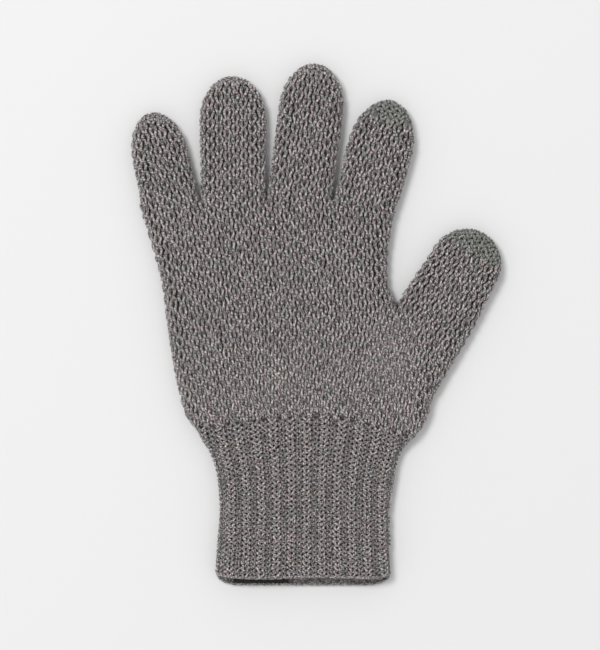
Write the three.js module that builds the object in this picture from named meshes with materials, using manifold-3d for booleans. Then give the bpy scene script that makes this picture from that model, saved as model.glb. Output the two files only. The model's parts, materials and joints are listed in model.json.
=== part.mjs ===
// One knitted glove, lying on its back with the palm side up and the fingers along +Y.
// Millimetres, +Z up. The origin is the centre of the footprint, on the surface it lies on.
// The glove is one soft tube of fabric. It is cut here at its fold lines, so that each length
// of finger, the thumb, the hand and the cuff is a piece of its own on a hinge.
import * as THREE from 'three';
import { mergeVertices } from 'three/addons/utils/BufferGeometryUtils.js';
import Module from 'manifold-3d';

// ---- Driving dimensions ----
const LOFT = 12; // thickness of the glove as it lies, two layers of fabric and the air between
const WALL = 2.4; // thickness of the knitted fabric
const FOLD_GAP = 0.6; // clearance across a fold line
const JOIN_GAP = 0.3; // clearance between two pieces that do not move against each other
const RUN_ON = 14; // how far a blank runs on past the line where it is cut
const CURVE_STEPS = 6;
const EDGE_STEPS = 3;

const KNUCKLE_Y = 57; // line across the roots of the four fingers
const WRIST_Y = -50; // line where the ribbed cuff begins
const HEM_Y = -126; // open end of the cuff
const HEM_DEPTH = 3.6; // band of cast-on stitches round the opening
const HEM_STEP = 2.2; // how far the back layer's hem shows below the palm layer's
const TIP_DEPTH = 6.5; // plain-knit cap that closes a digit

// Fingers: root on the knuckle line, lean away from +Y (positive towards the thumb),
// width where it leaves the hand and width of its free part.
const FINGERS = [
  { name: 'little', rootX: -69.2, lean: -12.6, length: 46.2, bend: 21, rootWidth: 26, width: 28 },
  { name: 'ring', rootX: -39, lean: -0.3, length: 63, bend: 29, rootWidth: 28.5, width: 32.4 },
  { name: 'middle', rootX: -7.3, lean: 7.4, length: 69.5, bend: 32, rootWidth: 29, width: 33 },
  { name: 'index', rootX: 24.3, lean: 15, length: 52.6, bend: 24, rootWidth: 28.2, width: 32.4 },
];
const FINGER_NOSE = 22; // length over which a finger rounds off
const THUMB = { rootX: 36.2, rootY: -36, lean: 30.5, length: 92.5, rootWidth: 41, width: 36.6 };
const THUMB_NOSE = 21;
const THUMB_FREE = 45.5; // from the thumb's root to the line where it leaves the hand
const THUMB_BEND = 68; // from the thumb's root to its middle joint
const CROTCH = { x: 41.2, y: 10.5 }; // where the thumb parts from the palm

// Hand and cuff, as left and right edges
const KNUCKLE_LEFT = -84;
const KNUCKLE_RIGHT = 39.6;
const PALM_LEFT = -72;
const PALM_RIGHT = 35.2;
const WRIST_LEFT = -57.5;
const WRIST_RIGHT = 52;
const CUFF_LEFT = -45.4;
const CUFF_RIGHT = 36.6;
const CUFF_FLARE = 2.6;
const CUFF_NECK = 30; // length over which the cuff narrows from the hand
const HEM_CORNER = 5;

const LABEL = { x: -25.5, width: 27, length: 17, thickness: 0.6, show: 1.5 };
const SEAM = { inset: 2, width: 0.8, height: 0.5 };

const KNIT = { color: 0x706b6a, roughness: 0.95 };
const RIB = { color: 0x767170, roughness: 0.95 };
const HEM_KNIT = { color: 0x6a6462, roughness: 0.95 };
const LABEL_CLOTH = { color: 0x101011, roughness: 0.7 };
const LABEL_THREAD = { color: 0x1b1b1d, roughness: 0.8 };

// ---- Joining and cutting ----
const wasm = await Module();
wasm.setup();

function solidOf(geometry) {
  geometry.deleteAttribute('uv');
  geometry.deleteAttribute('normal');
  const merged = mergeVertices(geometry, 1e-4);
  const mesh = new wasm.Mesh({
    numProp: 3,
    vertProperties: new Float32Array(merged.attributes.position.array),
    triVerts: new Uint32Array(merged.index.array),
  });
  return new wasm.Manifold(mesh);
}

function boxSolid(minimum, maximum) {
  const size = new THREE.Vector3().subVectors(maximum, minimum);
  const centre = new THREE.Vector3().addVectors(minimum, maximum).multiplyScalar(0.5);
  const geometry = new THREE.BoxGeometry(size.x, size.y, size.z);
  geometry.translate(centre.x, centre.y, centre.z);
  return geometry;
}

// A band of space between two distances from a line through (x, y), turned by `lean` degrees
function band({ x = 0, y = 0, lean = 0, from, to }) {
  const reach = 260;
  const geometry = boxSolid(
    new THREE.Vector3(-reach, from, -reach),
    new THREE.Vector3(reach, to, reach),
  );
  geometry.rotateZ(THREE.MathUtils.degToRad(-lean));
  geometry.translate(x, y, 0);
  return solidOf(geometry);
}

// ---- Fabric: a flat tube with folded edges, from its outline seen from above ----
function slab(shape, inset, place) {
  const thickness = LOFT - 2 * inset;
  const round = 0.46 * thickness;
  const geometry = new THREE.ExtrudeGeometry(shape, {
    depth: thickness - 2 * round,
    curveSegments: CURVE_STEPS,
    bevelThickness: round,
    bevelSize: round,
    bevelOffset: -round - inset,
    bevelSegments: EDGE_STEPS,
  });
  geometry.translate(0, 0, round + inset);
  place(geometry);
  return solidOf(geometry);
}

function blank(shape, place = () => {}) {
  return { outside: slab(shape, 0, place), inside: slab(shape, WALL, place) };
}

function digitShape({ rootWidth, width, length }, nose) {
  const root = rootWidth / 2;
  const full = width / 2;
  const shoulder = length - nose;
  const shape = new THREE.Shape();
  shape.moveTo(root, -RUN_ON);
  shape.lineTo(root, 0);
  shape.bezierCurveTo(root, shoulder * 0.3, full, shoulder * 0.5, full, shoulder);
  shape.absellipse(0, shoulder, full, nose, 0, Math.PI, false);
  shape.bezierCurveTo(-full, shoulder * 0.5, -root, shoulder * 0.3, -root, 0);
  shape.lineTo(-root, -RUN_ON);
  shape.closePath();
  return shape;
}

function digitBlank(digit, rootY, nose) {
  return blank(digitShape(digit, nose), (geometry) => {
    geometry.rotateZ(THREE.MathUtils.degToRad(-digit.lean));
    geometry.translate(digit.rootX, rootY, 0);
  });
}

function handShape() {
  const top = KNUCKLE_Y + RUN_ON;
  const shape = new THREE.Shape();
  shape.moveTo(WRIST_LEFT, WRIST_Y - RUN_ON);
  shape.lineTo(WRIST_RIGHT, WRIST_Y - RUN_ON);
  shape.lineTo(WRIST_RIGHT, WRIST_Y);
  shape.lineTo(CROTCH.x, CROTCH.y);
  shape.bezierCurveTo(PALM_RIGHT, 24, PALM_RIGHT, 38, KNUCKLE_RIGHT, KNUCKLE_Y);
  shape.lineTo(KNUCKLE_RIGHT, top);
  shape.lineTo(KNUCKLE_LEFT, top);
  shape.lineTo(KNUCKLE_LEFT, KNUCKLE_Y);
  shape.bezierCurveTo(PALM_LEFT - 2, 15, PALM_LEFT + 2, -25, WRIST_LEFT, WRIST_Y);
  shape.closePath();
  return shape;
}

function cuffShape() {
  const neck = WRIST_Y - CUFF_NECK;
  const flareLeft = CUFF_LEFT - CUFF_FLARE;
  const flareRight = CUFF_RIGHT + CUFF_FLARE;
  const shape = new THREE.Shape();
  shape.moveTo(WRIST_LEFT, WRIST_Y + RUN_ON);
  shape.lineTo(WRIST_LEFT, WRIST_Y);
  shape.bezierCurveTo(WRIST_LEFT + 7, WRIST_Y - 10, CUFF_LEFT, neck + 14, CUFF_LEFT, neck);
  shape.bezierCurveTo(CUFF_LEFT, neck - 20, flareLeft, HEM_Y + 24, flareLeft, HEM_Y + HEM_CORNER);
  shape.lineTo(flareLeft, HEM_Y - RUN_ON);
  shape.lineTo(flareRight, HEM_Y - RUN_ON);
  shape.lineTo(flareRight, HEM_Y + HEM_CORNER);
  shape.bezierCurveTo(flareRight, HEM_Y + 24, CUFF_RIGHT, neck - 20, CUFF_RIGHT, neck);
  shape.bezierCurveTo(CUFF_RIGHT, neck + 14, WRIST_RIGHT - 7, WRIST_Y - 10, WRIST_RIGHT, WRIST_Y);
  shape.lineTo(WRIST_RIGHT, WRIST_Y + RUN_ON);
  shape.closePath();
  return shape;
}

// ---- Pieces ----
const pieces = [];

function keep(name, solid, finish) {
  pieces.push({ name, solid, finish });
}

function hollow({ outside, inside }) {
  return outside.subtract(inside);
}

// Each finger: two open lengths of tube and a closed plain-knit cap
for (const finger of FINGERS) {
  const whole = digitBlank(finger, KNUCKLE_Y, FINGER_NOSE);
  const tube = hollow(whole);
  const reach = finger.length * Math.cos(THREE.MathUtils.degToRad(finger.lean));
  const tip = KNUCKLE_Y + reach - TIP_DEPTH;
  const bend = KNUCKLE_Y + finger.bend;
  const lower = band({ from: KNUCKLE_Y + FOLD_GAP / 2, to: bend - FOLD_GAP / 2 });
  const upper = band({ from: bend + FOLD_GAP / 2, to: tip - JOIN_GAP / 2 });
  const cap = band({ from: tip + JOIN_GAP / 2, to: tip + 2 * RUN_ON });
  keep(`${finger.name}_lower`, tube.intersect(lower), KNIT);
  keep(`${finger.name}_upper`, tube.intersect(upper), KNIT);
  keep(`${finger.name}_tip`, whole.outside.intersect(cap), KNIT);
}

// Thumb: the same, square to its own lean, with its root reaching into the hand
const thumbPlace = { x: THUMB.rootX, y: THUMB.rootY, lean: THUMB.lean };
const thumbWhole = digitBlank(THUMB, THUMB.rootY, THUMB_NOSE);
const thumbTube = hollow(thumbWhole);
const thumbTip = THUMB.length - TIP_DEPTH;
const thumbBands = {
  lower: { from: THUMB_FREE + FOLD_GAP / 2, to: THUMB_BEND - FOLD_GAP / 2 },
  upper: { from: THUMB_BEND + FOLD_GAP / 2, to: thumbTip - JOIN_GAP / 2 },
  tip: { from: thumbTip + JOIN_GAP / 2, to: THUMB.length + RUN_ON },
};
keep('thumb_lower', thumbTube.intersect(band({ ...thumbPlace, ...thumbBands.lower })), KNIT);
keep('thumb_upper', thumbTube.intersect(band({ ...thumbPlace, ...thumbBands.upper })), KNIT);
keep('thumb_tip', thumbWhole.outside.intersect(band({ ...thumbPlace, ...thumbBands.tip })), KNIT);

// Hand: palm and back in one tube, open to the fingers, the thumb and the cuff
const thumbRoot = band({ ...thumbPlace, from: -2 * RUN_ON, to: THUMB_FREE - FOLD_GAP / 2 });
const thumbWay = band({ ...thumbPlace, from: -2 * RUN_ON, to: THUMB_FREE + FOLD_GAP });
const handWhole = blank(handShape());
const handOutside = handWhole.outside.add(thumbWhole.outside.intersect(thumbRoot));
const handInside = handWhole.inside.add(thumbWhole.inside.intersect(thumbWay));
const handLength = band({ from: WRIST_Y + FOLD_GAP / 2, to: KNUCKLE_Y - FOLD_GAP / 2 });
keep('hand_knit', handOutside.subtract(handInside).intersect(handLength), KNIT);

// Cuff: ribbed tube, then the band of cast-on stitches round its open end
const cuffTube = hollow(blank(cuffShape()));
const ribLength = band({ from: HEM_Y + HEM_DEPTH + JOIN_GAP / 2, to: WRIST_Y - FOLD_GAP / 2 });
const hemLength = band({ from: HEM_Y, to: HEM_Y + HEM_DEPTH - JOIN_GAP / 2 });
const hemNotch = solidOf(boxSolid(
  new THREE.Vector3(-2 * RUN_ON + CUFF_LEFT, HEM_Y - 1, LOFT / 2),
  new THREE.Vector3(2 * RUN_ON + CUFF_RIGHT, HEM_Y + HEM_STEP, LOFT + 1),
));
keep('cuff_rib', cuffTube.intersect(ribLength), RIB);
keep('cuff_hem', cuffTube.intersect(hemLength).subtract(hemNotch), HEM_KNIT);

// Label: a woven strip lying inside the cuff on the back layer, held by a line of stitches
const labelLow = new THREE.Vector3(LABEL.x - LABEL.width / 2, HEM_Y + LABEL.show, WALL + JOIN_GAP);
const labelHigh = labelLow.clone().add(new THREE.Vector3(LABEL.width, LABEL.length, LABEL.thickness));
const seamLow = new THREE.Vector3(
  labelLow.x + SEAM.inset,
  labelHigh.y - SEAM.inset - SEAM.width,
  labelHigh.z + JOIN_GAP / 2,
);
const seamHigh = new THREE.Vector3(
  labelHigh.x - SEAM.inset,
  labelHigh.y - SEAM.inset,
  seamLow.z + SEAM.height,
);
keep('label', solidOf(boxSolid(labelLow, labelHigh)), LABEL_CLOTH);
keep('label_seam', solidOf(boxSolid(seamLow, seamHigh)), LABEL_THREAD);

// ---- Glove ----
function meshOf({ name, solid, finish }) {
  const { vertProperties, triVerts } = solid.getMesh();
  const geometry = new THREE.BufferGeometry();
  geometry.setAttribute('position', new THREE.BufferAttribute(vertProperties, 3));
  geometry.setIndex(new THREE.BufferAttribute(triVerts, 1));
  geometry.computeVertexNormals();
  const material = new THREE.MeshStandardMaterial({ metalness: 0, ...finish });
  material.name = name;
  const mesh = new THREE.Mesh(geometry, material);
  mesh.name = name;
  return mesh;
}

const glove = new THREE.Group();
glove.name = 'knitted_glove';
for (const piece of pieces) {
  glove.add(meshOf(piece));
}

// Move the footprint's centre to the origin
const footprint = new THREE.Box3().setFromObject(glove);
const centre = footprint.getCenter(new THREE.Vector3());
for (const mesh of glove.children) {
  mesh.geometry.translate(-centre.x, -centre.y, -footprint.min.z);
}

export default glove;
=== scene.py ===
import json
import math

import bpy
import numpy as np
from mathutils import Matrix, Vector


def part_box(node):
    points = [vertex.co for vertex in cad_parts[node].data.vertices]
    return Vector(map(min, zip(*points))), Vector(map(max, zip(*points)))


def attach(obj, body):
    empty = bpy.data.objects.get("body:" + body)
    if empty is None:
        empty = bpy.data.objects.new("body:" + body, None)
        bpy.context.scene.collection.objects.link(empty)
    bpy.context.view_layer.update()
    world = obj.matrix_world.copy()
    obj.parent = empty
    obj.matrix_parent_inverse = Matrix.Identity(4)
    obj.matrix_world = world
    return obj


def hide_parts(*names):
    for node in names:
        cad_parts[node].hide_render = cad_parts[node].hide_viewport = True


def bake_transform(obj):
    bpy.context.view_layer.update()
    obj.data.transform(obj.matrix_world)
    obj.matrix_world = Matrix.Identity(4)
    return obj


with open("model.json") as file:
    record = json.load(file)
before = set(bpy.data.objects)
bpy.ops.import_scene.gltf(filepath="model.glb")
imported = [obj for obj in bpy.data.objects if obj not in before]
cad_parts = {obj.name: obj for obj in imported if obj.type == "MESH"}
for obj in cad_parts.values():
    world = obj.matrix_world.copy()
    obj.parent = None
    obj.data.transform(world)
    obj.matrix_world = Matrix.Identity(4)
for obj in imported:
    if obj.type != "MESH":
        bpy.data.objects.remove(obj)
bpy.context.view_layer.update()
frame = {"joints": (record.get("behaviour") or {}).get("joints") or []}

# A knitted glove lying on its back, palm side up. Every yarn is real geometry: each course is a
# tube that loops through its wales, laid on the glove's surface and carried round its edge.
# Lengths are millimetres until a mesh is made, in the frame's axes. On the flat fabric, u counts
# wales from left to right and v counts courses from the hem towards the fingertips. The front is
# the palm layer, and the back is the layer that lies on the floor.

MM = 0.001
JOINTS = {j["name"]: np.array(j["pos_m"]) / MM for j in frame["joints"]}
WRIST = JOINTS["cuff_fold"]
KNUCKLE_Y = JOINTS["index_knuckle"][1]
RNG = np.random.default_rng(41)


def box_mm(node):
    low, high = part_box(node)
    return np.array(low) / MM, np.array(high) / MM


# ---------------------------------------------------------------- small maths
def smooth(t):
    t = np.clip(t, 0.0, 1.0)
    return t * t * (3 - 2 * t)


def lerp(a, b, t):
    return a + (b - a) * t


def heading(degrees):
    """Unit vector that leans this many degrees from +Y towards +X."""
    a = np.radians(degrees)
    return np.stack([np.sin(a), np.cos(a)], -1)


def spline(points, count):
    """Smooth curve through the points, as count points evenly spaced in the parameter."""
    p = np.array(points, float)
    p = np.vstack([2 * p[0] - p[1], p, 2 * p[-1] - p[-2]])
    s = np.linspace(0, len(p) - 3 - 1e-9, count)
    k = s.astype(int)
    t = (s - k)[:, None]
    a, b, c, d = p[k], p[k + 1], p[k + 2], p[k + 3]
    return 0.5 * (
        2 * b + (c - a) * t + (2 * a - 5 * b + 4 * c - d) * t**2 + (3 * b - a - 3 * c + d) * t**3
    )


# ---------------------------------------------------------------- outlines, seen from above
# wales: stitches across a layer. root and full: widths where the digit leaves the hand and along
# its free part. nose: length over which it rounds off. joined: how far from the knuckles its left
# and right sides are still grown together with the next digit. split: the course at which its
# second length starts. first_wale: where its stitches start on the hand.
DIGITS = {
    "little": {"wales": 7, "root": 28.0, "full": 27.2, "nose": 22, "joined": (0, 9),
               "split": 5, "first_wale": 0},
    "ring": {"wales": 8, "root": 31.4, "full": 32.2, "nose": 21, "joined": (9, 27),
             "split": 7, "first_wale": 7},
    "middle": {"wales": 8, "root": 31.2, "full": 31.3, "nose": 22, "joined": (27, 23),
               "split": 8, "first_wale": 15},
    "index": {"wales": 8, "root": 30.6, "full": 31.8, "nose": 25, "joined": (23, 0),
              "split": 6, "first_wale": 23},
    "thumb": {"wales": 9, "root": 38.0, "full": 35.0, "nose": 18.5, "joined": (0, 0),
              "split": 7, "first_wale": 31},
}
ROOT_DEPTH = 40.0  # how far a digit's outline runs on into the hand
INDEX_SHIFT = 0.6  # the index finger's outline sits this far to the thumb's side of its joints
THUMB_CORNER = 6.2  # from the corner of the thumb tip's box back to the tip, along the thumb

for name, digit in DIGITS.items():
    digit["root_joint"] = JOINTS["thumb_base" if name == "thumb" else f"{name}_knuckle"]
    digit["bend_joint"] = JOINTS[f"{name}_bend"]
    base, bend = digit["root_joint"][:2], digit["bend_joint"][:2]
    digit["axis"] = (bend - base) / np.linalg.norm(bend - base)
    digit["across"] = np.array([digit["axis"][1], -digit["axis"][0]])
    digit["lean"] = math.degrees(math.atan2(digit["axis"][0], digit["axis"][1]))
    digit["base"] = base + digit["across"] * (INDEX_SHIFT if name == "index" else 0.0)
    low, high = box_mm(f"{name}_tip")
    if name == "thumb":
        corner = np.array([high[0], high[1]])
        digit["length"] = float((corner - base) @ digit["axis"]) - THUMB_CORNER
    else:
        digit["length"] = (high[1] - base[1]) / digit["axis"][1]


def digit_outline(digit):
    """Closed outline of a digit with its root run on into the hand."""
    root, full = digit["root"] / 2, digit["full"] / 2
    shoulder = digit["length"] - digit["nose"]
    along = np.linspace(0, 1, 24)
    side = np.stack([lerp(root, full, smooth(along)), along * shoulder], -1)
    turn = np.linspace(0, math.pi, 40)[1:-1]
    cap = np.stack([full * np.cos(turn), shoulder + digit["nose"] * np.sin(turn)], -1)
    foot = np.array([[root, -ROOT_DEPTH]])
    left = side[::-1] * [-1, 1]
    local = np.vstack([foot, side, cap, left, foot * [-1, 1]])
    return digit["base"] + local[:, :1] * digit["across"] + local[:, 1:] * digit["axis"]


# Left and right edges of cuff and palm, from the hem up, measured from the wrist's joint
LEFT_EDGE = [
    (-44.6, -90), (-44.2, -76), (-42.9, -58), (-41.6, -41), (-43.1, -24), (-47.2, -12),
    (-54.0, -2), (-59.3, 8), (-64.2, 30), (-67.2, 50), (-70.0, 70), (-75.4, 90), (-80.5, 107),
    (-86.4, 128),
]
RIGHT_EDGE = [
    (42.4, -90), (42.3, -76), (41.6, -58), (41.4, -41), (43.6, -24), (47.4, -12), (56.2, -2),
    (60.6, 8), (60.4, 20), (53.0, 40), (43.4, 60), (40.2, 70), (40.0, 80), (41.2, 92),
    (44.2, 107), (48.6, 128),
]
left_edge = spline(LEFT_EDGE, 160) + WRIST[:2]
right_edge = spline(RIGHT_EDGE, 160) + WRIST[:2]
body_outline = np.vstack([left_edge, right_edge[::-1]])


class Distance:
    """Signed distance to a closed outline, positive inside, with its inward direction."""

    STEP = 0.5
    MARGIN = 14.0

    def __init__(self, outline):
        self.low = outline.min(0) - self.MARGIN
        size = outline.max(0) + self.MARGIN - self.low
        self.shape = np.ceil(size / self.STEP).astype(int) + 1
        xs = self.low[0] + self.STEP * np.arange(self.shape[0])
        ys = self.low[1] + self.STEP * np.arange(self.shape[1])
        gx, gy = np.meshgrid(xs, ys, indexing="ij")
        best = np.full(gx.shape, 1e9)
        inside = np.zeros(gx.shape, bool)
        for (x0, y0), (x1, y1) in zip(outline, np.roll(outline, -1, 0)):
            dx, dy = x1 - x0, y1 - y0
            length = dx * dx + dy * dy
            if length < 1e-9:
                continue
            t = np.clip(((gx - x0) * dx + (gy - y0) * dy) / length, 0, 1)
            best = np.minimum(best, (gx - x0 - t * dx) ** 2 + (gy - y0 - t * dy) ** 2)
            crosses = (y0 > gy) != (y1 > gy)
            inside ^= crosses & (gx < dx * (gy - y0) / (dy if dy else 1e-9) + x0)
        self.field = np.sqrt(best) * np.where(inside, 1, -1)
        self.slope = np.stack(np.gradient(self.field, self.STEP), -1)

    def at(self, x, y):
        fx = np.clip((x - self.low[0]) / self.STEP, 0, self.shape[0] - 1.001)
        fy = np.clip((y - self.low[1]) / self.STEP, 0, self.shape[1] - 1.001)
        i, j = fx.astype(int), fy.astype(int)
        a, b = fx - i, fy - j
        out = []
        for grid in (self.field, self.slope[..., 0], self.slope[..., 1]):
            out.append(
                (grid[i, j] * (1 - a) + grid[i + 1, j] * a) * (1 - b)
                + (grid[i, j + 1] * (1 - a) + grid[i + 1, j + 1] * a) * b
            )
        size = np.maximum(np.hypot(out[1], out[2]), 1e-6)
        return out[0], out[1] / size, out[2] / size


BODY_DISTANCE = Distance(body_outline)
for digit in DIGITS.values():
    digit["distance"] = Distance(digit_outline(digit))


def join_distances(one, two, x, y):
    a, b = one.at(x, y), two.at(x, y)
    pick = a[0] >= b[0]
    return tuple(np.where(pick, p, q) for p, q in zip(a, b))


# ---------------------------------------------------------------- the surface the yarn lies on
MIDDLE = 5.3  # height of the fold that runs round the glove's edge
LIFT_FRONT = 4.5  # from there up to the palm layer
LIFT_BACK = 3.5  # and down to the back layer
EDGE = 6.0  # width over which a layer rounds down to its edge
EDGE_CUFF = 4.6
OVERRUN = 0.04  # share of the edge's turn that each layer runs past the fold
TURN_SLACK = 1.02  # the edge's turn is this much longer than the circle's quarter
REST = 0.75  # height at which a yarn's middle starts to be pressed flat on the floor
SQUASH = 0.15  # share of the drop below that height which it keeps
INSET = 1.15  # yarn that stands outside the fabric's own surface
BACK_FOLDS = 0.12  # how much of the palm layer's folds the back layer has
CREASE_DEPTH = 1.6
CROWN = 0.5  # how much a digit's upper layer stands above the palm
CROWN_WIDTH = 7.0
MERGED = 0.1  # share of the edge's width that is left where two digits are grown together

# centre (x, y) from the wrist joint, half length, tilt in degrees, half width, height
CREASES = [
    (17, 44, 14, -38, 4.5, -0.8), (-13, 7, 12, 28, 4.0, -1.0), (22, 8, 13, -24, 4.0, -1.1),
    (4, 2, 12, 8, 4.0, 0.8), (-36, 28, 26, 2, 3.2, -0.5), (52, 42, 16, -30, 3.2, -0.5),
    (-2, 96, 20, 0, 3.0, -0.35), (40, 66, 16, 60, 5.0, 0.5),
]


def folds(x, y):
    """Low waves and soft creases in the upper layer."""
    u, v = x - WRIST[0], y - WRIST[1]
    z = 0.28 * np.sin(u / 17 + 0.6 * np.sin(v / 23)) * np.sin(v / 21 + 1.2)
    z += 0.16 * np.sin(u / 7.5 + v / 11 + 2.0) * np.sin(v / 9.0 - u / 16)
    for cx, cy, run, tilt, width, depth in CREASES:
        a = math.radians(tilt)
        s = (u - cx) * math.cos(a) + (v - cy) * math.sin(a)
        n = -(u - cx) * math.sin(a) + (v - cy) * math.cos(a)
        z += CREASE_DEPTH * depth * np.exp(-((s / run) ** 2) - (n / width) ** 2)
    return z


def lay(x, y, height, distance, edge, front, crown=0.0):
    """Wraps flat points (x, y, height off the fabric) round the glove's edge. distance is what
    Distance.at gives there, and edge the width over which the layer rounds down.
    Returns positions, outward normals and which points are on the glove."""
    d, nx, ny = distance
    d = d - INSET
    lift = LIFT_FRONT if front else LIFT_BACK
    quarter = math.pi / 4 * (edge + lift) * TURN_SLACK
    turn = math.pi / 2 * np.maximum(edge - d, 0) / quarter
    valid = turn <= math.pi / 2 * (1 + OVERRUN)
    turn = np.minimum(turn, math.pi / 2 * (1 + OVERRUN))
    inset = np.where(d < edge, edge * (1 - np.sin(turn)), d)
    px, py = x + nx * (inset - d), y + ny * (inset - d)
    flat = np.cos(turn)
    sign = 1.0 if front else -1.0
    rise = (crown if front else 0.0) * (1 - np.exp(-np.maximum(d, 0) / CROWN_WIDTH))
    wave = folds(px, py) * flat * (1.0 if front else BACK_FOLDS)
    pz = MIDDLE + sign * (lift + rise) * flat + wave
    steep = np.sin(turn) * lift
    up = np.maximum(flat * edge, 1e-3)
    size = np.hypot(steep, up)
    n = np.stack([-nx * steep / size, -ny * steep / size, sign * up / size], -1)
    p = np.stack([px, py, pz], -1) + n * height[..., None]
    # the back layer's loops are pressed flat where they rest on the floor
    p[..., 2] = np.maximum(p[..., 2], REST) + SQUASH * np.minimum(p[..., 2] - REST, 0.0)
    return p, n, valid


# ---------------------------------------------------------------- where each stitch lies
HAND_WALES = 31
THUMB_WALES = DIGITS["thumb"]["wales"]
TOTAL = HAND_WALES + THUMB_WALES
LOW_ROWS, HIGH_ROWS = 20, 16  # courses from the wrist to the thumb's crotch, then to the knuckles
FINGER_ROW, THUMB_ROW = 2.62, 2.6  # height of a course
WALE, PALM_WALE = 3.95, 3.82  # width of a wale on the thumb, and across the palm
KNUCKLE_WALE = 124.0 / HAND_WALES
SPREAD = 3  # wales that run on past each side, to wrap round the edge
CUFF_WALES, CUFF_ROWS, CUFF_WALE = 32, 31, 3.65
HEM_ROWS = 2
RIB_SQUEEZE = 0.08  # share by which the sunk wales of the rib are narrower
CUFF_SHIFT = -1.2  # the cuff's middle, from the wrist joint
CUFF_FLARE, HEM_FLARE = 0.17, 0.03  # how much wider its wales are at the wrist and at the hem
WRIST_LEFT, WRIST_WALE = -61.5, 3.1  # the hand's first wale, from the wrist joint, and its width
THUMB_LEAN = 30.5  # degrees that courses tilt by the time they reach the thumb
SETTLE = 16.0  # length over which a finger's courses turn square to it

crotch = WRIST[:2] + [45.2, 60.5]


def rib_line(x):
    """Height of the line where the rib meets the hand."""
    u = x - WRIST[0]
    return WRIST[1] + 4.4 - 5.0 * smooth(-u / 60) - 10.0 * smooth((u - 4) / 56) ** 1.3


HEM_DROP = {True: 73.5, False: 77.2}  # from the wrist's joint to the palm and back layers' hems
HEM_CORNER = 70.9  # and to the corners of both


def hem_line(x, front):
    u = x - WRIST[0] + 0.8
    corner = 1 - np.sqrt(1 - np.clip((np.abs(u) - 31.0) / 12.0, 0, 1) ** 2)
    wave = 0.35 * np.sin(u / 8.5 + 0.8) * (1 - corner) if front else 0.0
    return WRIST[1] - lerp(HEM_DROP[front], HEM_CORNER, corner) + wave


# the course that meets the thumb's crotch, as a table of places across it
table_u = np.linspace(-4, TOTAL + 4, 900)
table_turn = THUMB_LEAN * smooth((table_u - (HAND_WALES - 3.5)) / 7)  # a course's downhill tilt
table_step = np.gradient(table_u) * lerp(PALM_WALE, WALE, smooth((table_u - 26) / 6))
table_x = np.cumsum(table_step * np.cos(np.radians(table_turn)))
table_y = -np.cumsum(table_step * np.sin(np.radians(table_turn)))
at_crotch = np.interp(HAND_WALES, table_u, table_x), np.interp(HAND_WALES, table_u, table_y)
table_x += crotch[0] - at_crotch[0]
table_y += crotch[1] - at_crotch[1]


def crotch_line(u):
    """Places on the course at the thumb's crotch, and which way the wales run there."""
    x, y = np.interp(u, table_u, table_x), np.interp(u, table_u, table_y)
    lean = np.where(
        u < 27, lerp(-9.0, -3.0, u / 27), lerp(-3.0, THUMB_LEAN, smooth((u - 27) / 9)))
    return np.stack([x, y], -1), heading(lean)


def wrist_line(u):
    """The same for the first course of the hand."""
    x = WRIST[0] + WRIST_LEFT + WRIST_WALE * u
    lean = np.interp(u, [-3, 8, 20, 31, 43], [-17.0, -7.0, 0.0, 9.0, 22.0])
    return np.stack([x, rib_line(x)], -1), heading(lean)


def knuckle_line(u):
    """The same for the course where the fingers start."""
    left = box_mm("hand_knit")[0][0] + 0.3
    x = left + KNUCKLE_WALE * u
    lean = np.interp(u, [0, HAND_WALES], [-11.0, -1.0])
    return np.stack([x, np.full_like(x, KNUCKLE_Y)], -1), heading(lean)


def hermite(p0, d0, p1, d1, t):
    """Curve from p0 to p1 that leaves along d0 and arrives along d1."""
    reach = np.linalg.norm(p1 - p0, axis=-1, keepdims=True)
    t = t[..., None]
    h00, h10 = 2 * t**3 - 3 * t**2 + 1, t**3 - 2 * t**2 + t
    h01, h11 = -2 * t**3 + 3 * t**2, t**3 - t**2
    return h00 * p0 + h10 * reach * d0 + h01 * p1 + h11 * reach * d1


def hand_low(u, v):
    return hermite(*wrist_line(u), *crotch_line(u), v / LOW_ROWS)


def hand_high(u, v):
    return hermite(*crotch_line(u), *knuckle_line(u), (v - LOW_ROWS) / HIGH_ROWS)


def digit_map(digit, row):
    half = digit["wales"] / 2
    middle = np.array(digit["first_wale"] + half)
    if digit is DIGITS["thumb"]:
        pitch, start = WALE, digit["lean"]
        base, _ = crotch_line(middle)
    else:
        pitch, start = KNUCKLE_WALE, 0.0
        base, _ = knuckle_line(middle)

    def place(u, v):
        t = v * row
        lean = lerp(start, digit["lean"], smooth(t / SETTLE))
        side = heading(lean + 90)
        s = ((u - half) * pitch)[..., None]
        return base + t[..., None] * digit["axis"] + s * side

    return place


def cuff_map(front):
    def place(u, v):
        t = v / CUFF_ROWS
        spread = 1 + CUFF_FLARE * smooth((t - 0.55) / 0.5) + HEM_FLARE * smooth((0.25 - t) / 0.25)
        wide = u - RIB_SQUEEZE / math.pi * np.cos(math.pi * u)
        x = WRIST[0] + CUFF_SHIFT + (wide - CUFF_WALES / 2) * CUFF_WALE * spread
        return np.stack([x, lerp(hem_line(x, front), rib_line(x), t)], -1)

    return place


# ---------------------------------------------------------------- yarn
SAMPLES, SIDES = 14, 7  # rings along the yarn of one stitch, and sides of the tube
BACK_SAMPLES, BACK_SIDES = 11, 6
YARN, RIB_YARN, CORD = 0.68, 0.58, 0.5  # radii of the yarn, of the cuff's and of the cast-on edge
FUZZ, CORD_FUZZ = 0.02, 0.1  # stray fibres for each ring of yarn
HAIR_FLOOR = 0.25  # lowest height of a stray fibre
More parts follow.
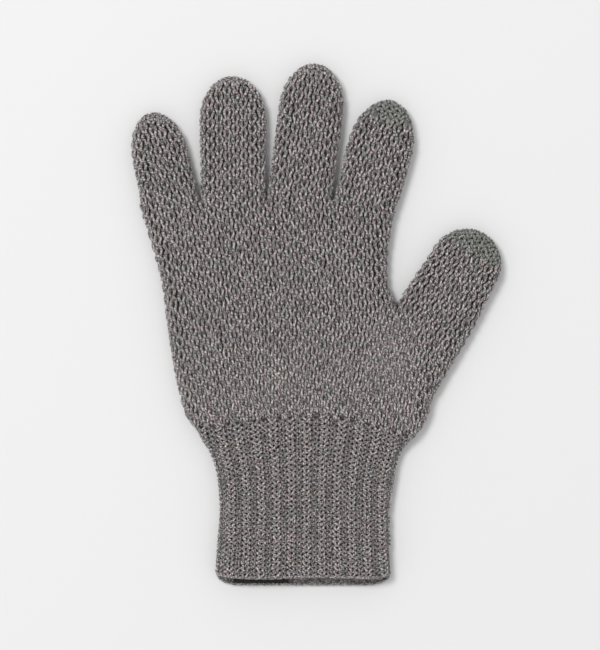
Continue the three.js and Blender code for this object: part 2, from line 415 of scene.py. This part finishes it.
# how far a loop's legs swing across the wale, and its height in courses
LOOPS = {"pique": (1.35, 1.75), "plain": (1.75, 1.6), "rib": (1.9, 1.45)}
DEPTH = 0.7  # how far a loop's legs stand off the fabric, and its ends sink into it
PIQUE = 0.40  # how far the pattern lifts a held stitch and sinks the tucked one beside it
HEAD_SHIFT = 0.30  # and, in courses, how much taller and shorter they are
LEAN_CHANGE = 0.16  # and how much wider and narrower
WELL = 0.5  # how far the roots of the tucked stitches sink
WELL_AT, WELL_WIDTH = 0.9, 0.45  # where along the loop, as an angle
WELL_HELD = -0.35  # a held stitch does the reverse, by this share
RIB_BASE = -0.2  # height of the rib's links between stitches
RIB_LEGS, SUNK_LEGS = 0.55, 0.12  # how far legs stand off in the rib's raised and sunk wales
RIB_SINK = 0.6  # how far the sunk wales lie lower
# painted shade: a shade is added to a yarn's height before the material turns height into
# painted darkness
WELL_SHADE = 1.5
RIB_SHADE, SUNK_SHADE = 0.15, 0.35
# painted shade: how far the sides of each yarn are painted darker than its top
SIDE_SHADE = {"pique": 0.5, "plain": 0.5, "rib": 1.0}  # how far a yarn's sides darken
# painted light: shade levels that lighten the cast-on strands, more the back layer's strands and
# hem rows
CORD_SHADE, BACK_CORD_SHADE, BACK_HEM_SHADE = 0.6, 1.6, 1.2
INNER_FACE_DEPTH = -1.05
# how unevenly stitches lie across, along and off the fabric, and how much their yarn varies
UNEVEN = np.array([0.035, 0.05, 0.06, 0.05])
# the cast-on edge: length of one twist, and how far its strands swing flat and off the fabric
CORD_TWIST, CORD_SWING, CORD_STAND = 2.9, 0.3, 0.42


class Soup:
    """Vertices, faces and face-corner coordinates gathered for one mesh."""

    def __init__(self):
        self.points, self.corners, self.starts, self.uvs, self.slots = [], [], [], [], []
        self.painted_shade_levels = []
        self.count = self.corner_count = 0

    def add(self, points, faces, uv, slot=0, relief=0.0):
        """faces: index array (n, k) with uv (n, k, 2). relief: height off the fabric plus added
        shade, which the yarn's material turns into painted shade.
        """
        if len(faces):
            k = faces.shape[1]
            self.corners.append((faces + self.count).ravel())
            self.starts.append(self.corner_count + k * np.arange(len(faces)))
            self.uvs.append(uv.reshape(-1, 2))
            self.slots.append(np.full(len(faces), slot))
            self.corner_count += faces.size
        if len(points):
            self.points.append(points)
            self.painted_shade_levels.append(np.broadcast_to(relief, len(points)))
            self.count += len(points)

    def make(self, name, materials):
        points = np.concatenate(self.points) * MM
        corners = np.concatenate(self.corners)
        starts = np.concatenate(self.starts)
        mesh = bpy.data.meshes.new(name)
        mesh.vertices.add(len(points))
        mesh.vertices.foreach_set("co", points.astype(np.float32).ravel())
        mesh.loops.add(len(corners))
        mesh.loops.foreach_set("vertex_index", corners.astype(np.int32))
        mesh.polygons.add(len(starts))
        mesh.polygons.foreach_set("loop_start", starts.astype(np.int32))
        mesh.polygons.foreach_set("material_index", np.concatenate(self.slots).astype(np.int32))
        mesh.polygons.foreach_set("use_smooth", np.ones(len(starts), bool))
        layer = mesh.uv_layers.new(name="yarn")
        layer.data.foreach_set("uv", np.concatenate(self.uvs).astype(np.float32).ravel())
        relief = mesh.attributes.new("relief", "FLOAT", "POINT")
        relief.data.foreach_set("value", np.concatenate(self.painted_shade_levels).astype(np.float32))
        for material in materials:
            mesh.materials.append(material)
        mesh.update(calc_edges=True)
        obj = bpy.data.objects.new(name, mesh)
        bpy.context.scene.collection.objects.link(obj)
        return obj


def tubes(soup, path, normal, valid, radius, sides, offset, height=0.0, side_shade=1.0):
    """One tube along each row of path (rows, points, 3), broken where valid is false. offset
    is where each row's yarn starts, height adds to each ring's relief, and rounding how much a
    tube's own roundness counts in its relief, which paints the yarn's sides darker as painted
    shade. Returns the rings of the tubes."""
    tangent = np.gradient(path, axis=1)
    tangent /= np.maximum(np.linalg.norm(tangent, axis=-1, keepdims=True), 1e-9)
    side = np.cross(normal, tangent)
    side /= np.maximum(np.linalg.norm(side, axis=-1, keepdims=True), 1e-9)
    top = np.cross(tangent, side)
    step = np.linalg.norm(np.diff(path, axis=1, prepend=path[:, :1]), axis=-1)
    length = np.cumsum(step, axis=1) + offset[:, None]
    linked = valid[:, :-1] & valid[:, 1:]
    used = np.zeros_like(valid)
    used[:, :-1] |= linked
    used[:, 1:] |= linked
    ring = np.full(valid.shape, -1)
    ring[used] = np.arange(used.sum())
    angles = 2 * math.pi * np.arange(sides) / sides - math.pi / 2
    c, s = np.cos(angles), np.sin(angles)
    r = radius[used][:, None, None]
    points = path[used][:, None] + r * (
        c[None, :, None] * side[used][:, None] + s[None, :, None] * top[used][:, None]
    )
    level = np.broadcast_to(height, valid.shape)[used][:, None]
    relief = level + side_shade * radius[used][:, None] * s
    a, b = ring[:, :-1][linked], ring[:, 1:][linked]
    la, lb = length[:, :-1][linked], length[:, 1:][linked]
    k = np.arange(sides)
    n = (k + 1) % sides
    quads = np.stack(
        [
            a[:, None] * sides + k, b[:, None] * sides + k,
            b[:, None] * sides + n, a[:, None] * sides + n,
        ],
        -1,
    ).reshape(-1, 4)
    around = np.stack([k, k, k + 1, k + 1], -1) / sides
    along = np.stack([la, lb, lb, la], -1)
    uv = np.stack(
        [
            np.repeat(along[:, None, :], sides, 1),
            np.repeat(around[None, :, :], len(a), 0),
        ],
        -1,
    ).reshape(-1, 4, 2)
    soup.add(points.reshape(-1, 3), quads[:, ::-1], uv[:, ::-1], relief=relief.ravel())
    # closed ends
    first = used & ~np.pad(linked, ((0, 0), (1, 0)))
    last = used & ~np.pad(linked, ((0, 0), (0, 1)))
    for ends, order in ((first, k), (last, k[::-1])):
        index = ring[ends][:, None] * sides + order - len(points) * sides
        start = np.repeat(length[ends][:, None], sides, 1)
        flat = np.stack([start, np.zeros_like(start)], -1)
        soup.add(np.zeros((0, 3)), index, flat)
    return points


def fibres(soup, points, share):
    """Fine stray fibres that stand off the yarn's rings, each a closed three-sided hair. share
    is how many there are for each ring."""
    sides = points.shape[1]
    count = int(len(points) * share)
    if not count:
        return
    pick = RNG.integers(0, len(points), count)
    around = RNG.integers(0, sides, count)
    root = points[pick, around]
    out = points[pick, around] - points[pick].mean(1)
    out /= np.maximum(np.linalg.norm(out, axis=-1, keepdims=True), 1e-9)
    grow = out + 0.9 * RNG.normal(size=(count, 3))
    grow /= np.linalg.norm(grow, axis=-1, keepdims=True)
    curl = RNG.normal(size=(count, 3))
    length = RNG.uniform(0.4, 1.5, count)[:, None]
    stops = np.array([0.0, 0.35, 0.7, 1.0])
    path = root[:, None] + length[:, None] * (
        grow[:, None] * stops[None, :, None] + 0.45 * curl[:, None] * stops[None, :, None] ** 2
    )
    path[..., 2] = np.maximum(path[..., 2], HAIR_FLOOR)
    width = np.array([0.035, 0.03, 0.024, 0.012])
    side = np.cross(grow, curl)
    side /= np.maximum(np.linalg.norm(side, axis=-1, keepdims=True), 1e-9)
    top = np.cross(grow, side)
    angles = 2 * math.pi * np.arange(3) / 3
    rings = path[:, :, None] + width[None, :, None, None] * (
        np.cos(angles)[None, None, :, None] * side[:, None, None]
        + np.sin(angles)[None, None, :, None] * top[:, None, None]
    )
    base = (np.arange(count) * 12)[:, None, None]
    k, n = np.arange(3), (np.arange(3) + 1) % 3
    quads = []
    for seg in range(3):
        quads.append(np.stack([seg * 3 + k, seg * 3 + n, seg * 3 + 3 + n, seg * 3 + 3 + k], -1))
    quads = (base + np.concatenate(quads)[None]).reshape(-1, 4)
    ends = (base[:, 0] + np.array([[2, 1, 0], [9, 10, 11]]).reshape(1, 6)).reshape(-1, 3)
    shade = RNG.uniform(0, 900, count)
    flat = np.stack([shade, np.full(count, 0.3)], -1)
    soup.add(rings.reshape(-1, 3), quads, np.repeat(flat, 36, 0).reshape(-1, 4, 2))
    soup.add(np.zeros((0, 3)), ends - count * 12, np.repeat(flat, 6, 0).reshape(-1, 3, 2))


def knit(soup, place, wales, rows, surface, front, kind, parity=0, radius=YARN, lit=0.0):
    """Courses rows[0]..rows[1] across wales[0]..wales[1]. place maps (wale, course) to the flat
    fabric, and surface(x, y, height, front) lays that on the glove. parity says which stitches
    of the pattern are held, and lit adds to the yarn's shade."""
    samples, sides = (SAMPLES, SIDES) if front else (BACK_SAMPLES, BACK_SIDES)
    stitches = wales[1] - wales[0]
    course = np.arange(rows[0], rows[1])
    t = 2 * math.pi * np.arange(stitches * samples + 1) / samples
    stitch = np.minimum(t // (2 * math.pi), stitches - 1).astype(int)
    t = t - 2 * math.pi * stitch
    row_count = len(course)
    wobble = RNG.normal(size=(4, row_count, stitches)) * UNEVEN[:, None, None]
    wobble = wobble[:, :, stitch]
    hump = np.abs(np.sin(t / 2))
    # 1 for a held stitch, -1 for the tucked one beside it and 0 where there is no pattern
    held = ((stitch[None] + wales[0] + course[:, None] + parity) % 2 == 0) * 2.0 - 1.0
    held = held * (kind == "pique")
    lean, tall = LOOPS[kind]
    lean = lean + LEAN_CHANGE * held
    u = wales[0] + stitch + (t + lean * np.sin(2 * t)) / (2 * math.pi)
    u = u + wobble[0] * hump
    v = course[:, None] + 0.5 - tall / 2 * np.cos(t)[None]
    v = v + wobble[1] * hump + HEAD_SHIFT * held * hump**2
    if kind == "rib":
        sunk = (stitch + wales[0]) % 2 == 1
        h = RIB_BASE + np.where(sunk, SUNK_LEGS, RIB_LEGS) * (1 - np.cos(2 * t))
        h = np.repeat((h - sunk * RIB_SINK * hump**2)[None], row_count, 0)
        # painted light on the heads of the rib's loops, most in the sunk wales
        shade = (np.where(sunk, SUNK_SHADE, RIB_SHADE) * hump**2)[None]
    else:
        near = np.minimum(t, 2 * math.pi - t)
        well = np.where(held < 0, 1.0, WELL_HELD) * np.exp(-(((near - WELL_AT) / WELL_WIDTH) ** 2))
        well = well * np.abs(held)
        h = -DEPTH * np.cos(2 * t)[None] + PIQUE * held * hump**2 - WELL * well
        # painted shade on the sunk roots of the tucked stitches, and painted light on the held
        # ones
        shade = -WELL_SHADE * well
    h = h + wobble[2] * hump
    flat = place(u, v)
    p, n, valid = surface(flat[..., 0], flat[..., 1], h, front)
    r = radius * (1 + wobble[3] * hump) * np.ones_like(u)
    offset = RNG.uniform(0, 900, row_count)
    rings = tubes(soup, p, n, valid, r, sides, offset, h + lit + shade, SIDE_SHADE[kind])
    fibres(soup, rings, FUZZ if front else FUZZ / 2)


def shaded_inner_face(soup, place, wales, rows, surface, front):
    """The inner face of the fabric, which closes the gaps between loops. It is coloured dark,
    as painted shade in those gaps.
    """
    u = np.linspace(wales[0], wales[1], (wales[1] - wales[0]) * 2 + 1)
    v = np.linspace(rows[0], rows[1], (rows[1] - rows[0]) * 2 + 1)
    u, v = np.meshgrid(u, v)
    flat = place(u, v)
    p, _, valid = surface(flat[..., 0], flat[..., 1], np.full_like(u, INNER_FACE_DEPTH), front)
    index = np.full(valid.shape, -1)
    index[valid] = np.arange(valid.sum())
    cell = index[:-1, :-1], index[:-1, 1:], index[1:, 1:], index[1:, :-1]
    quads = np.stack(cell, -1).reshape(-1, 4)
    quads = quads[(quads >= 0).all(1)]
    if not front:
        quads = quads[:, ::-1]
    soup.add(p[valid], quads, np.zeros((len(quads), 4, 2)), slot=1)


# ---------------------------------------------------------------- materials
def node_material(name):
    material = bpy.data.materials.new(name)
    material.use_nodes = True
    tree = material.node_tree
    return material, tree, tree.nodes["Principled BSDF"]


def srgb(*rgb):
    out = []
    for c in rgb:
        c = c / 255
        out.append(c / 12.92 if c <= 0.04045 else ((c + 0.055) / 1.055) ** 2.4)
    return (*out, 1.0)


# painted shade: the yarn is painted darkest at DEEP and lightest at PROUD
DEEP, PROUD = -0.85, 1.15  # heights off the fabric between which the yarn's shade changes


def wool(name, dark, mid, light):
    """Marl yarn: light and dark fibres twisted together, with painted shade and light by depth."""
    material, tree, shader = node_material(name)
    add, link = tree.nodes.new, tree.links.new
    uv = add("ShaderNodeUVMap")
    uv.uv_map = "yarn"
    split = add("ShaderNodeSeparateXYZ")
    link(uv.outputs["UV"], split.inputs[0])

    def math_node(kind, a, b):
        node = add("ShaderNodeMath")
        node.operation = kind
        for socket, value in zip(node.inputs, (a, b)):
            if isinstance(value, (int, float)):
                socket.default_value = value
            else:
                link(value, socket)
        return node.outputs[0]

    def multiply(a, b):
        node = add("ShaderNodeMix")
        node.data_type = "RGBA"
        node.blend_type = "MULTIPLY"
        node.inputs[0].default_value = 1.0
        link(a, node.inputs[6])
        link(b, node.inputs[7])
        return node.outputs[2]

    along, around = split.outputs["X"], split.outputs["Y"]
    twist = math_node("ADD", around, math_node("MULTIPLY", along, 0.22))
    coords = add("ShaderNodeCombineXYZ")
    link(math_node("MULTIPLY", along, 0.95), coords.inputs[0])
    link(math_node("MULTIPLY", twist, 5.0), coords.inputs[1])

    def noise(scale, detail, roughness, vector):
        node = add("ShaderNodeTexNoise")
        node.inputs["Scale"].default_value = scale
        node.inputs["Detail"].default_value = detail
        node.inputs["Roughness"].default_value = roughness
        link(vector, node.inputs["Vector"])
        return node

    flecks = noise(1.15, 3.0, 0.72, coords.outputs[0])
    ramp = add("ShaderNodeValToRGB")
    stops = ramp.color_ramp.elements
    stops[0].position, stops[0].color = 0.41, dark
    stops[1].position, stops[1].color = 0.60, light
    middle = stops.new(0.49)
    middle.color = mid
    link(flecks.outputs["Fac"], ramp.inputs["Fac"])
    # slight warm and cool tints, a few stitches across
    place = add("ShaderNodeTexCoord")
    tint = noise(420.0, 3.0, 0.7, place.outputs["Object"])
    tint_ramp = add("ShaderNodeValToRGB")
    ends = tint_ramp.color_ramp.elements
    ends[0].position, ends[0].color = 0.36, (0.86, 0.94, 0.97, 1)
    ends[1].position, ends[1].color = 0.64, (1.10, 1.0, 1.0, 1)
    link(tint.outputs["Fac"], tint_ramp.inputs["Fac"])
    tinted = multiply(ramp.outputs["Color"], tint_ramp.outputs["Color"])
    # painted shade: less light gets between the loops, so yarn deep in the fabric is painted
    # darker and proud yarn lighter
    relief = add("ShaderNodeAttribute")
    relief.attribute_name = "relief"
    depth = add("ShaderNodeMapRange")
    depth.interpolation_type = "SMOOTHSTEP"
    depth.inputs["From Min"].default_value = DEEP
    depth.inputs["From Max"].default_value = PROUD
    link(relief.outputs["Fac"], depth.inputs["Value"])
    shade = add("ShaderNodeValToRGB")
    ends = shade.color_ramp.elements
    ends[0].position, ends[0].color = 0.0, (0.13, 0.12, 0.12, 1)
    ends[1].position, ends[1].color = 1.0, (1.2, 1.2, 1.2, 1)
    link(depth.outputs["Result"], shade.inputs["Fac"])
    link(multiply(tinted, shade.outputs["Color"]), shader.inputs["Base Color"])
    # strands of the plied yarn
    strand = add("ShaderNodeTexWave")
    strand.wave_type = "BANDS"
    strand.bands_direction = "Y"
    strand.inputs["Scale"].default_value = 1.3
    strand.inputs["Distortion"].default_value = 2.5
    strand.inputs["Detail"].default_value = 2.0
    link(coords.outputs[0], strand.inputs["Vector"])
    bump = add("ShaderNodeBump")
    bump.inputs["Strength"].default_value = 0.55
    bump.inputs["Distance"].default_value = 0.0002
    link(strand.outputs["Fac"], bump.inputs["Height"])
    link(bump.outputs["Normal"], shader.inputs["Normal"])
    shader.inputs["Roughness"].default_value = 0.88
    shader.inputs["Specular IOR Level"].default_value = 0.25
    shader.inputs["Sheen Weight"].default_value = 0.25
    shader.inputs["Sheen Roughness"].default_value = 0.5
    return material


def plain(name, colour):
    """The inner face of the knit, as painted shade between the loops: one soft shade, a little
    uneven.
    """
    material, tree, shader = node_material(name)
    noise = tree.nodes.new("ShaderNodeTexNoise")
    noise.inputs["Scale"].default_value = 900.0
    noise.inputs["Detail"].default_value = 3.0
    place = tree.nodes.new("ShaderNodeTexCoord")
    tree.links.new(place.outputs["Object"], noise.inputs["Vector"])
    ramp = tree.nodes.new("ShaderNodeValToRGB")
    ends = ramp.color_ramp.elements
    ends[0].position, ends[0].color = 0.3, tuple(c * 0.6 for c in colour[:3]) + (1,)
    ends[1].position, ends[1].color = 0.7, colour
    tree.links.new(noise.outputs["Fac"], ramp.inputs["Fac"])
    tree.links.new(ramp.outputs["Color"], shader.inputs["Base Color"])
    shader.inputs["Roughness"].default_value = 0.9
    return material


def woven(name, dark, light, scale, roughness):
    """Fine cloth or thread: crossing ribs of yarn, seen in the colour and the bump."""
    material, tree, shader = node_material(name)
    add, link = tree.nodes.new, tree.links.new
    place = add("ShaderNodeTexCoord")
    waves = []
    for direction in ("X", "Y"):
        wave = add("ShaderNodeTexWave")
        wave.bands_direction = direction
        wave.inputs["Scale"].default_value = scale
        wave.inputs["Distortion"].default_value = 0.6
        link(place.outputs["Object"], wave.inputs["Vector"])
        waves.append(wave)
    cross = add("ShaderNodeMath")
    cross.operation = "MULTIPLY"
    link(waves[0].outputs["Fac"], cross.inputs[0])
    link(waves[1].outputs["Fac"], cross.inputs[1])
    ramp = add("ShaderNodeValToRGB")
    ends = ramp.color_ramp.elements
    ends[0].position, ends[0].color = 0.1, dark
    ends[1].position, ends[1].color = 0.9, light
    link(cross.outputs[0], ramp.inputs["Fac"])
    link(ramp.outputs["Color"], shader.inputs["Base Color"])
    bump = add("ShaderNodeBump")
    bump.inputs["Strength"].default_value = 0.6
    bump.inputs["Distance"].default_value = 0.0001
    link(cross.outputs[0], bump.inputs["Height"])
    link(bump.outputs["Normal"], shader.inputs["Normal"])
    shader.inputs["Roughness"].default_value = roughness
    shader.inputs["Sheen Weight"].default_value = 0.15
    return material


YARN_MATERIAL = wool("marl_wool", srgb(30, 27, 27), srgb(108, 102, 101), srgb(232, 225, 222))
TOUCH_MATERIAL = wool(
    "touch_tip_yarn", srgb(58, 59, 56), srgb(114, 115, 109), srgb(184, 186, 177))
# painted shade: the fabric's inner face is coloured much darker than the yarn, for the gaps' shade
INNER_FACE_SHADE_MATERIAL = plain("shaded_knit_reverse", srgb(58, 53, 52))
LABEL_MATERIAL = woven("black_woven_cloth", srgb(6, 6, 7), srgb(30, 30, 33), 520.0, 0.65)
THREAD_MATERIAL = woven("black_thread", srgb(10, 10, 11), srgb(52, 52, 56), 900.0, 0.55)


# ---------------------------------------------------------------- the glove's pieces
def palm_surface(x, y, h, front):
    return lay(x, y, h, BODY_DISTANCE.at(x, y), EDGE, front)


def hand_surface(x, y, h, front):
    """The lower part of the hand, where the thumb grows out of it."""
    distance = join_distances(BODY_DISTANCE, DIGITS["thumb"]["distance"], x, y)
    return lay(x, y, h, distance, EDGE, front)


def cuff_surface(x, y, h, front):
    edge = lerp(EDGE_CUFF, EDGE, smooth((y - WRIST[1] + 20) / 16))
    return lay(x, y, h, BODY_DISTANCE.at(x, y), edge, front)


def digit_surface(digit):
    def surface(x, y, h, front):
        offset = np.stack([x, y], -1) - digit["base"]
        t = offset @ digit["axis"]
        s = offset @ digit["across"]
        left, right = digit["joined"]
        joined = np.where(s < 0, left, right)
        apart = smooth(t / np.maximum(joined, 1))
        free = np.where(joined > 0, lerp(MERGED, 1.0, apart), 1.0)
        return lay(x, y, h, digit["distance"].at(x, y), EDGE * free, front, CROWN)

    return surface


def piece(name, body, nodes, parts, yarn=YARN_MATERIAL):
    """One piece of fabric made of several runs of knitting, which stands for CAD nodes. It rides
    on body, unless that is None, when it stays unattached."""
    soup = Soup()
    for place, wales, rows, surface, front, kind, extra in parts:
        knit(soup, place, wales, rows, surface, front, kind, **extra)
        shaded_inner_face(soup, place, wales, rows, surface, front)
    obj = soup.make(name, [yarn, INNER_FACE_SHADE_MATERIAL])
    if body:
        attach(obj, body)
    if nodes:
        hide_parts(*nodes)
    return obj


def across(wales):
    return (-SPREAD, wales + SPREAD)


def both(place, wales, rows, surface, kind, **extra):
    return [(place, wales, rows, surface, front, kind, extra) for front in (True, False)]


def hand(front):
    rows = (LOW_ROWS, LOW_ROWS + HIGH_ROWS)
    return [
        (hand_low, across(TOTAL), (0, LOW_ROWS), hand_surface, front, "pique", {}),
        (hand_high, across(HAND_WALES), rows, palm_surface, front, "pique", {}),
    ]


palm = piece("hand_palm_knit", None, ["hand_knit"], hand(True))
back = piece("hand_back_knit", None, [], hand(False))


def rib(first, last):
    return [
        (cuff_map(front), (0, CUFF_WALES), (first, last), cuff_surface, front, "rib",
         {"radius": RIB_YARN})
        for front in (True, False)
    ]


cuff = piece("cuff_rib_knit", None, ["cuff_rib"], rib(HEM_ROWS, CUFF_ROWS))


def cast_on(soup):
    """The edge that the knitting starts from: two strands twisted along each layer's hem."""
    x = WRIST[0] + CUFF_SHIFT + np.arange(-47, 47, 0.3)
    turn = 2 * math.pi * x / CORD_TWIST
    phase = np.array([[0.0], [math.pi]])
    for front in (True, False):
        y = hem_line(x, front) - 0.1 + CORD_SWING * np.cos(turn + phase)
        h = CORD_STAND * np.sin(turn + phase) - 0.15
        xx = np.repeat(x[None], 2, 0)
        p, n, valid = cuff_surface(xx, y, h, front)
        shade = CORD_SHADE if front else BACK_CORD_SHADE
        rings = tubes(
            soup, p, n, valid, np.full(y.shape, CORD), 7, np.array([0.0, 300.0]), h + shade)
        fibres(soup, rings, CORD_FUZZ)


hem_soup = Soup()
for place, wales, rows, surface, front, kind, extra in rib(0, HEM_ROWS):
    # painted light: the back layer's hem rows, seen from inside, get a raised shade level
    lit = 0.0 if front else BACK_HEM_SHADE
    knit(hem_soup, place, wales, rows, surface, front, kind, lit=lit, **extra)
    if front:
        shaded_inner_face(hem_soup, place, wales, rows, surface, front)
cast_on(hem_soup)
hem = hem_soup.make("cuff_hem_knit", [YARN_MATERIAL, INNER_FACE_SHADE_MATERIAL])
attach(hem, "cuff")
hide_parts("cuff_hem")

for obj in (palm, back, cuff):
    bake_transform(obj)

CAP = 6.6  # depth of the plain-knit cap
TOUCH_ROWS = 2  # courses by which a touch tip starts earlier
THUMB_START = 1.9  # how far before its joint the thumb's first course lies
for name, digit in DIGITS.items():
    thumb = name == "thumb"
    row = THUMB_ROW if thumb else FINGER_ROW
    place = digit_map(digit, row)
    surface = digit_surface(digit)
    reach = digit["length"] + (THUMB_START if thumb else 0)
    total = int(math.ceil(reach / row)) + 1
    touch = name in ("index", "thumb")  # tips in a plain, cooler yarn, which works a touch screen
    cap = int(round((reach - CAP) / row)) - (TOUCH_ROWS if touch else 0)
    # the pattern runs on from the hand's own stitches
    parity = digit["first_wale"] + LOW_ROWS + (0 if thumb else HIGH_ROWS)
    split = digit["split"]
    wales = across(digit["wales"])
    lower = piece(f"{name}_lower_knit", None, [f"{name}_lower"], both(
        place, wales, (0, split), surface, "pique", parity=parity))
    upper = piece(f"{name}_upper_knit", None, [f"{name}_upper"], both(
        place, wales, (split, cap), surface, "pique", parity=parity))
    tip = piece(f"{name}_tip_knit", f"{name}_upper", [f"{name}_tip"], both(
        place, wales, (cap, total), surface, "plain", parity=parity),
        TOUCH_MATERIAL if touch else YARN_MATERIAL)
    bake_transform(lower)
    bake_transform(upper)


# ---------------------------------------------------------------- the label
LABEL_LIFT = 1.75  # from the middle of the back layer's fabric up to the label
LABEL_GAP = 0.35  # between the back layer's hem and the label's edge


def label_height(x, y):
    """The label follows the inner face of the back layer."""
    return MIDDLE - LIFT_BACK + LABEL_LIFT + 0.15 * np.sin(x / 5.0 + 1) + 0.1 * np.sin(y / 4.0)


def make_label():
    """A folded strip of black woven cloth, sewn by its sides and top. Returns its corners."""
    low, high = box_mm("label")
    low[1] = WRIST[1] - HEM_DROP[False] + LABEL_GAP
    x = np.linspace(low[0], high[0], 60)
    y = np.linspace(low[1], high[1], 44)
    gx, gy = np.meshgrid(x, y)
    edge = np.minimum(
        np.minimum(gx - low[0], high[0] - gx), np.minimum(gy - low[1], high[1] - gy))
    thick = 0.12 + 0.16 * smooth(edge / 0.8) + 0.1 * np.exp(-(((edge - 1.2) / 0.5) ** 2))
    fray = 0.12 * np.sin(gx * 2.9) * (gy == y[0])
    soup = Soup()
    rows, columns = gx.shape
    index = np.arange(rows * columns).reshape(rows, columns)
    cell = index[:-1, :-1], index[:-1, 1:], index[1:, 1:], index[1:, :-1]
    quads = np.stack(cell, -1).reshape(-1, 4)
    rim = np.concatenate([index[0], index[1:, -1], index[-1, -2::-1], index[-2:0:-1, 0]])
    level = label_height(gx, gy)
    top = np.stack([gx, gy + fray, level + thick], -1).reshape(-1, 3)
    bottom = np.stack([gx, gy + fray, level - thick], -1).reshape(-1, 3)
    flat = np.stack([gx, gy], -1).reshape(-1, 2)
    soup.add(np.vstack([top, bottom]), quads, flat[quads])
    under = (quads + len(top))[:, ::-1]
    soup.add(np.zeros((0, 3)), under - 2 * len(top), flat[quads[:, ::-1]])
    after = np.roll(rim, -1)
    side = np.stack([rim, rim + len(top), after + len(top), after], -1)[:, ::-1]
    soup.add(np.zeros((0, 3)), side - 2 * len(top), flat[side % len(top)])
    obj = soup.make("label_cloth", [LABEL_MATERIAL])
    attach(obj, "cuff")
    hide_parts("label")
    return low, high


def make_label_stitches(low, high):
    """Short stitches of sewing thread that hold the label."""
    inset, pitch, length = 1.1, 2.6, 1.7
    runs = []
    for y in np.arange(low[1] + 3.5, high[1] - 1.5, pitch):
        runs += [((low[0] + inset, y), (0, 1)), ((high[0] - inset, y), (0, 1))]
    for x in np.arange(low[0] + inset + 1.2, high[0] - inset - 1.5, pitch):
        runs.append(((x, high[1] - inset), (1, 0)))
    t = np.linspace(0, 1, 9)
    start = np.array([r[0] for r in runs])
    way = np.array([r[1] for r in runs], float)
    flat = start[:, None] + way[:, None] * (t * length)[None, :, None]
    arch = 0.34 + 0.26 * np.sin(math.pi * t)
    z = label_height(flat[..., 0], flat[..., 1]) + arch
    path = np.concatenate([flat, z[..., None]], -1)
    normal = np.zeros_like(path)
    normal[..., 2] = 1
    width = np.repeat((0.08 + 0.14 * np.sin(math.pi * t))[None], len(runs), 0)
    soup = Soup()
    tubes(soup, path, normal, np.ones(width.shape, bool), width, 8, np.zeros(len(runs)))
    obj = soup.make("label_stitches", [THREAD_MATERIAL])
    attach(obj, "cuff")
    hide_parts("label_seam")


make_label_stitches(*make_label())

# ---------------------------------------------------------------- floor, light and camera
FLOOR = 6.0  # its sides, in metres like everything in this section
CAMERA_HEIGHT = 1.6
FRAME_HEIGHT = 0.31525  # height of the picture where the glove lies
PICTURE_MIDDLE = (-0.0078, -0.0012)
SENSOR = 36.0

floor_mesh = bpy.data.meshes.new("floor")
far = FLOOR / 2
floor_mesh.from_pydata(
    [(-far, -far, 0), (far, -far, 0), (far, far, 0), (-far, far, 0)], [], [(0, 1, 2, 3)])
floor = bpy.data.objects.new("floor", floor_mesh)
bpy.context.scene.collection.objects.link(floor)
floor_material, _, floor_shader = node_material("paper")
floor_shader.inputs["Base Color"].default_value = srgb(238, 238, 238)
floor_shader.inputs["Roughness"].default_value = 0.9
floor_mesh.materials.append(floor_material)

bpy.context.scene.view_settings.view_transform = "Standard"
world = bpy.data.worlds.new("studio")
world.use_nodes = True
world.node_tree.nodes["Background"].inputs["Color"].default_value = (1, 1, 1, 1)
world.node_tree.nodes["Background"].inputs["Strength"].default_value = 0.62
bpy.context.scene.world = world


def lamp(name, place, size, power):
    data = bpy.data.lights.new(name, "AREA")
    data.shape = "DISK"
    data.size = size
    data.energy = power
    obj = bpy.data.objects.new(name, data)
    obj.location = place
    obj.rotation_mode = "QUATERNION"
    obj.rotation_quaternion = (-Vector(place)).to_track_quat("-Z", "Y")
    bpy.context.scene.collection.objects.link(obj)


lamp("key", (-1.05, 0.95, 2.75), 1.1, 44.0)

camera_data = bpy.data.cameras.new("camera")
camera = bpy.data.objects.new("camera", camera_data)
bpy.context.scene.collection.objects.link(camera)
camera_data.sensor_width = SENSOR
camera_data.lens = SENSOR * (CAMERA_HEIGHT - MIDDLE * 2 * MM) / FRAME_HEIGHT
camera.location = (*PICTURE_MIDDLE, CAMERA_HEIGHT)
camera_data.clip_end = 20
bpy.context.scene.camera = camera
